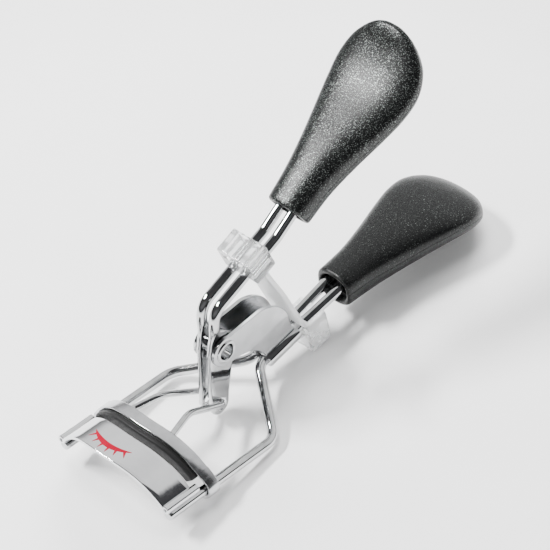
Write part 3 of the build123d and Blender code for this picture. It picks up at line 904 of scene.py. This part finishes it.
def half_outline(s, keep, inset, count=60):
    """The part of the section on one side of the parting line, with a fine groove along the seam."""
    outline = grip_outline(s, inset)
    low, high = min(p[1] for p in outline), max(p[1] for p in outline)
    margin = 0.04 * (high - low)
    line = min(max(through(GRIP_SEAM, s), low + margin), high - margin)
    size = len(outline)
    inside = [(p[1] - line) * keep > 0 for p in outline]
    start = next(k for k in range(size) if inside[k] and not inside[k - 1])

    def crossing(a, b):
        t = (line - a[1]) / (b[1] - a[1])
        return a[0] + (b[0] - a[0]) * t, line
    run = [crossing(outline[start - 1], outline[start])]
    k = start
    while inside[k % size]:
        run.append(outline[k % size])
        k += 1
    run.append(crossing(outline[(k - 1) % size], outline[k % size]))
    out = resampled(run, count)
    lip = 0.07 * keep

    def groove(point):
        return [(point[0] * 0.965, point[1] + 0.02 * keep), (point[0] * 0.99, point[1] + lip * 0.4)]
    opening, closing = groove(out[0]), groove(out[-1])[::-1]
    out[0] = (out[0][0], out[0][1] + lip)
    out[-1] = (out[-1][0], out[-1][1] + lip)
    return opening + out + closing


def grip(name, start, climb, outward, body, mat):
    """A grip of two shells, from stations of (distance along, inset of the section)."""
    along = Vector((cos(climb), 0, sin(climb)))
    away = Vector((-sin(climb), 0, cos(climb))) * outward
    origin = Vector((start[0], 0, start[1]))
    stations = [(1.6, 1.5), (0.5, 1.35), (0.12, 1.1), (0.0, 0.8), (0.03, 0.5), (0.16, 0.25), (0.4, 0.08),
                (0.8, 0.0)]
    s = 1.6
    while s < 44.8:
        stations.append((s, 0.0))
        s += 0.8
    stations += [(45.2, 0.0), (45.6, 0.02), (45.85, 0.1), (46.0, 0.3), (46.06, 0.7), (46.1, 1.1)]
    for shell, keep in (("outer", 1), ("inner", -1)):
        rings = [[origin + along * s + away * h + ACROSS * w for w, h in half_outline(s, keep, inset)]
                 for s, inset in stations]
        points, faces = rings_mesh(rings)
        build(f"{name}_handle_{shell}", points, faces, mat, body, (f"{name}_grip_{shell}",),
              sharp=48)


grip("upper", UPPER_GRIP_START, UPPER_GRIP_CLIMB, 1, "lever", UPPER_GRIP)
grip("lower", (GRIP_X, tail(GRIP_X) - GRIP_DROP), LOWER_GRIP_CLIMB, -1, "frame", LOWER_GRIP)


# ---------------------------------------------------------------- clear spring
def clip(name, centre, climb, half, inner, outer, outward, body, node, mat):
    """A moulded block round two wires with an open window beside them."""
    along = Vector((cos(climb), 0, sin(climb)))
    away = Vector((-sin(climb), 0, cos(climb))) * outward
    origin = Vector((centre[0], 0, centre[1]))

    def rectangle(wide, low, high, radius):
        return softened(((-wide, low), (wide, low), (wide, high), (-wide, high)), radius, 5)
    loop = rectangle(half, -inner, outer, 0.7)
    window = rectangle(half - CLIP_SKIN, WIRE + CLIP_WEB, outer - CLIP_SKIN, 0.5)
    ends = ((loop, -CLIP_HALF_LENGTH), (loop, CLIP_HALF_LENGTH), (window, CLIP_HALF_LENGTH),
            (window, -CLIP_HALF_LENGTH))
    rings = [[origin + along * s + away * h + ACROSS * w for w, h in outline] for outline, s in ends]
    points, faces = looped_mesh(rings)
    build(name, points, faces, mat, body, (node,), 40, (0.3, 3))


def leaf():
    """The springy leaf between the clips, built in one shape, though the real one bends as the lever turns.
    """
    knots = [Vector(p) for p in LEAF_ROUTE]
    slopes = [Vector((0.4, 0, -0.9)).normalized() * 9, (knots[2] - knots[0]) / 2, (knots[3] - knots[1]) / 2,
              Vector((0.8, 0, -0.35)).normalized() * 5]
    route = []
    for i in range(3):
        route += [hermite(k / 12, knots[i], slopes[i], knots[i + 1], slopes[i + 1]) for k in range(12)]
    route.append(knots[3])
    section = softened(((-4.3, -0.6), (-1.5, -0.6), (1.5, -0.6), (4.3, -0.6), (4.3, 0.6), (1.5, 0.6),
                        (-1.5, 0.6), (-4.3, 0.6)), 0.3, 4)
    rings = []
    for i, spot in enumerate(route):
        ahead = (route[min(i + 1, len(route) - 1)] - route[max(i - 1, 0)]).normalized()
        out = ACROSS.cross(ahead)
        rings.append([spot + ACROSS * w + out * t for w, t in section])
    points, faces = rings_mesh(rings)
    piece = build("clear_leaf", points, faces, FROSTED, None, ("spring_leaf",), 50)
    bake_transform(piece)


clip("clear_clip_upper", (UPPER_CLIP_X, lever(UPPER_CLIP_X)), LEVER_CLIMB, 4.9, 1.9, 5.4, 1, "lever",
     "spring_clip_upper", CLEAR)
clip("clear_clip_lower", (LOWER_CLIP_X, tail(LOWER_CLIP_X)), TAIL_CLIMB, 3.9, 0.45, 8.5, -1, "frame",
     "spring_clip_lower", CLOUDED)
leaf()


# ---------------------------------------------------------------- floor
def studio_floor(reach=1.6):
    """A pale floor under the part, with painted shade that turns it grey far away."""
    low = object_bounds()[0][2]
    mesh = bpy.data.meshes.new("floor")
    corners = [(-reach, -reach, low), (reach, -reach, low), (reach, reach, low), (-reach, reach, low)]
    mesh.from_pydata(corners, [], [(0, 1, 2, 3)])
    floor = bpy.data.objects.new("floor", mesh)
    bpy.context.scene.collection.objects.link(floor)
    mat, tree, shader, where = new_material("studio_floor")
    far = tree.nodes.new("ShaderNodeVectorMath")
    far.operation = "LENGTH"
    tree.links.new(where, far.inputs[0])
    paper = ramp(tree, noise(tree, where, 30, 4), ((0.3, (0.88, 0.88, 0.88)), (0.7, (0.91, 0.91, 0.91))))
    # Painted shade: the floor's colour goes from white near the part to grey farther off, a painted pool of
    # light.
    painted_falloff = ramp(tree, span(tree, far.outputs["Value"], 0.0, 1.0, 0.13, 0.42),
                ((0.0, (1.0, 1.0, 1.0)), (1.0, (0.26, 0.26, 0.265))))
    shade = tree.nodes.new("ShaderNodeVectorMath")
    shade.operation = "MULTIPLY"
    tree.links.new(paper, shade.inputs[0])
    tree.links.new(painted_falloff, shade.inputs[1])
    tree.links.new(shade.outputs["Vector"], shader.inputs["Base Color"])
    shader.inputs["Roughness"].default_value = 0.85
    mesh.materials.append(mat)
    floor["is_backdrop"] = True


studio_floor()


# ---------------------------------------------------------------- camera, in the guide frame
AZIMUTH, ELEVATION, ROLLED = radians(-46.251), radians(39.838), radians(-0.545)
DISTANCE, VIEW_WIDTH = 600.0, 119.4354
AIM_RIGHT, AIM_UP = 12.841, 15.195


def photo_camera():
    """A camera that looks down at the part's right side, from this far away in millimetres."""
    back = Vector((sin(AZIMUTH) * cos(ELEVATION), -cos(AZIMUTH) * cos(ELEVATION), sin(ELEVATION)))
    level = Vector((cos(AZIMUTH), sin(AZIMUTH), 0))
    upright = back.cross(level)
    right = level * cos(ROLLED) + upright * sin(ROLLED)
    up = upright * cos(ROLLED) - level * sin(ROLLED)
    eye = back * DISTANCE + right * AIM_RIGHT + up * AIM_UP
    data = bpy.data.cameras.new("photo_camera")
    data.lens = data.sensor_width * DISTANCE / VIEW_WIDTH
    data.clip_start = 0.05
    camera = bpy.data.objects.new("photo_camera", data)
    bpy.context.scene.collection.objects.link(camera)
    axes = Matrix((turn(right), turn(up), turn(back))).transposed().to_4x4()
    camera.matrix_world = Matrix.Translation(at(*eye)) @ axes
    bpy.context.scene.camera = camera


photo_camera()


# ---------------------------------------------------------------- light
def softbox(name, direction, distance, size, power, mirrored=False):
    """A lit panel that faces the part. Only a mirrored one shows in glossy surfaces."""
    data = bpy.data.lights.new(name, "AREA")
    data.shape = "RECTANGLE"
    data.size, data.size_y = size
    data.energy = power
    lamp = bpy.data.objects.new(name, data)
    lamp.visible_glossy = mirrored
    bpy.context.scene.collection.objects.link(lamp)
    way = Vector(direction).normalized()
    facing = way.to_track_quat("Z", "Y").to_matrix().to_4x4()
    lamp.matrix_world = Matrix.Translation(way * distance) @ facing


softbox("top_box", (-0.34, 0.53, 0.78), 0.9, (0.3, 0.1), 19, mirrored=True)
softbox("rear_box", (0.75, 0.45, 0.6), 0.9, (0.5, 0.3), 10)
softbox("left_box", (-0.95, 0.75, 0.35), 0.9, (0.25, 0.3), 3)
softbox("right_box", (0.1, -1.0, 0.3), 0.9, (0.12, 0.5), 3)
softbox("overhead", (0.05, 0.1, 1.0), 1.0, (0.4, 0.4), 8)


def room():
    """A bright wall behind the part, and a dark room in front of it and over it."""
    world = bpy.data.worlds.new("studio")
    bpy.context.scene.world = world
    world.use_nodes = True
    tree = world.node_tree
    background = next(n for n in tree.nodes if n.type == "BACKGROUND")
    way = tree.nodes.new("ShaderNodeTexCoord").outputs["Generated"]
    dot = tree.nodes.new("ShaderNodeVectorMath")
    dot.operation = "DOT_PRODUCT"
    dot.inputs[1].default_value = (0.95, 0.28, 0.15)
    tree.links.new(way, dot.inputs[0])
    facing = ramp(tree, span(tree, dot.outputs["Value"], 0.0, 1.0, -1.0, 1.0), (
        (0.0, (0.2, 0.2, 0.205)), (0.25, (0.06, 0.06, 0.062)), (0.68, (0.06, 0.06, 0.063)),
        (0.697, (0.85, 0.85, 0.85)), (1.0, (1.0, 1.0, 1.0)),
    ))
    split = tree.nodes.new("ShaderNodeSeparateXYZ")
    tree.links.new(way, split.inputs["Vector"])
    height = ramp(tree, split.outputs["Z"], (
        (0.0, (0.2, 0.2, 0.202)), (0.14, (0.4, 0.4, 0.402)), (0.3, (0.85, 0.85, 0.86)),
        (0.42, (1.0, 1.0, 1.0)), (0.7, (1.05, 1.05, 1.05)), (1.0, (0.8, 0.8, 0.8)),
    ))
    product = tree.nodes.new("ShaderNodeVectorMath")
    product.operation = "MULTIPLY"
    tree.links.new(facing, product.inputs[0])
    tree.links.new(height, product.inputs[1])
    tree.links.new(product.outputs["Vector"], background.inputs["Color"])
    background.inputs["Strength"].default_value = 1.5


room()
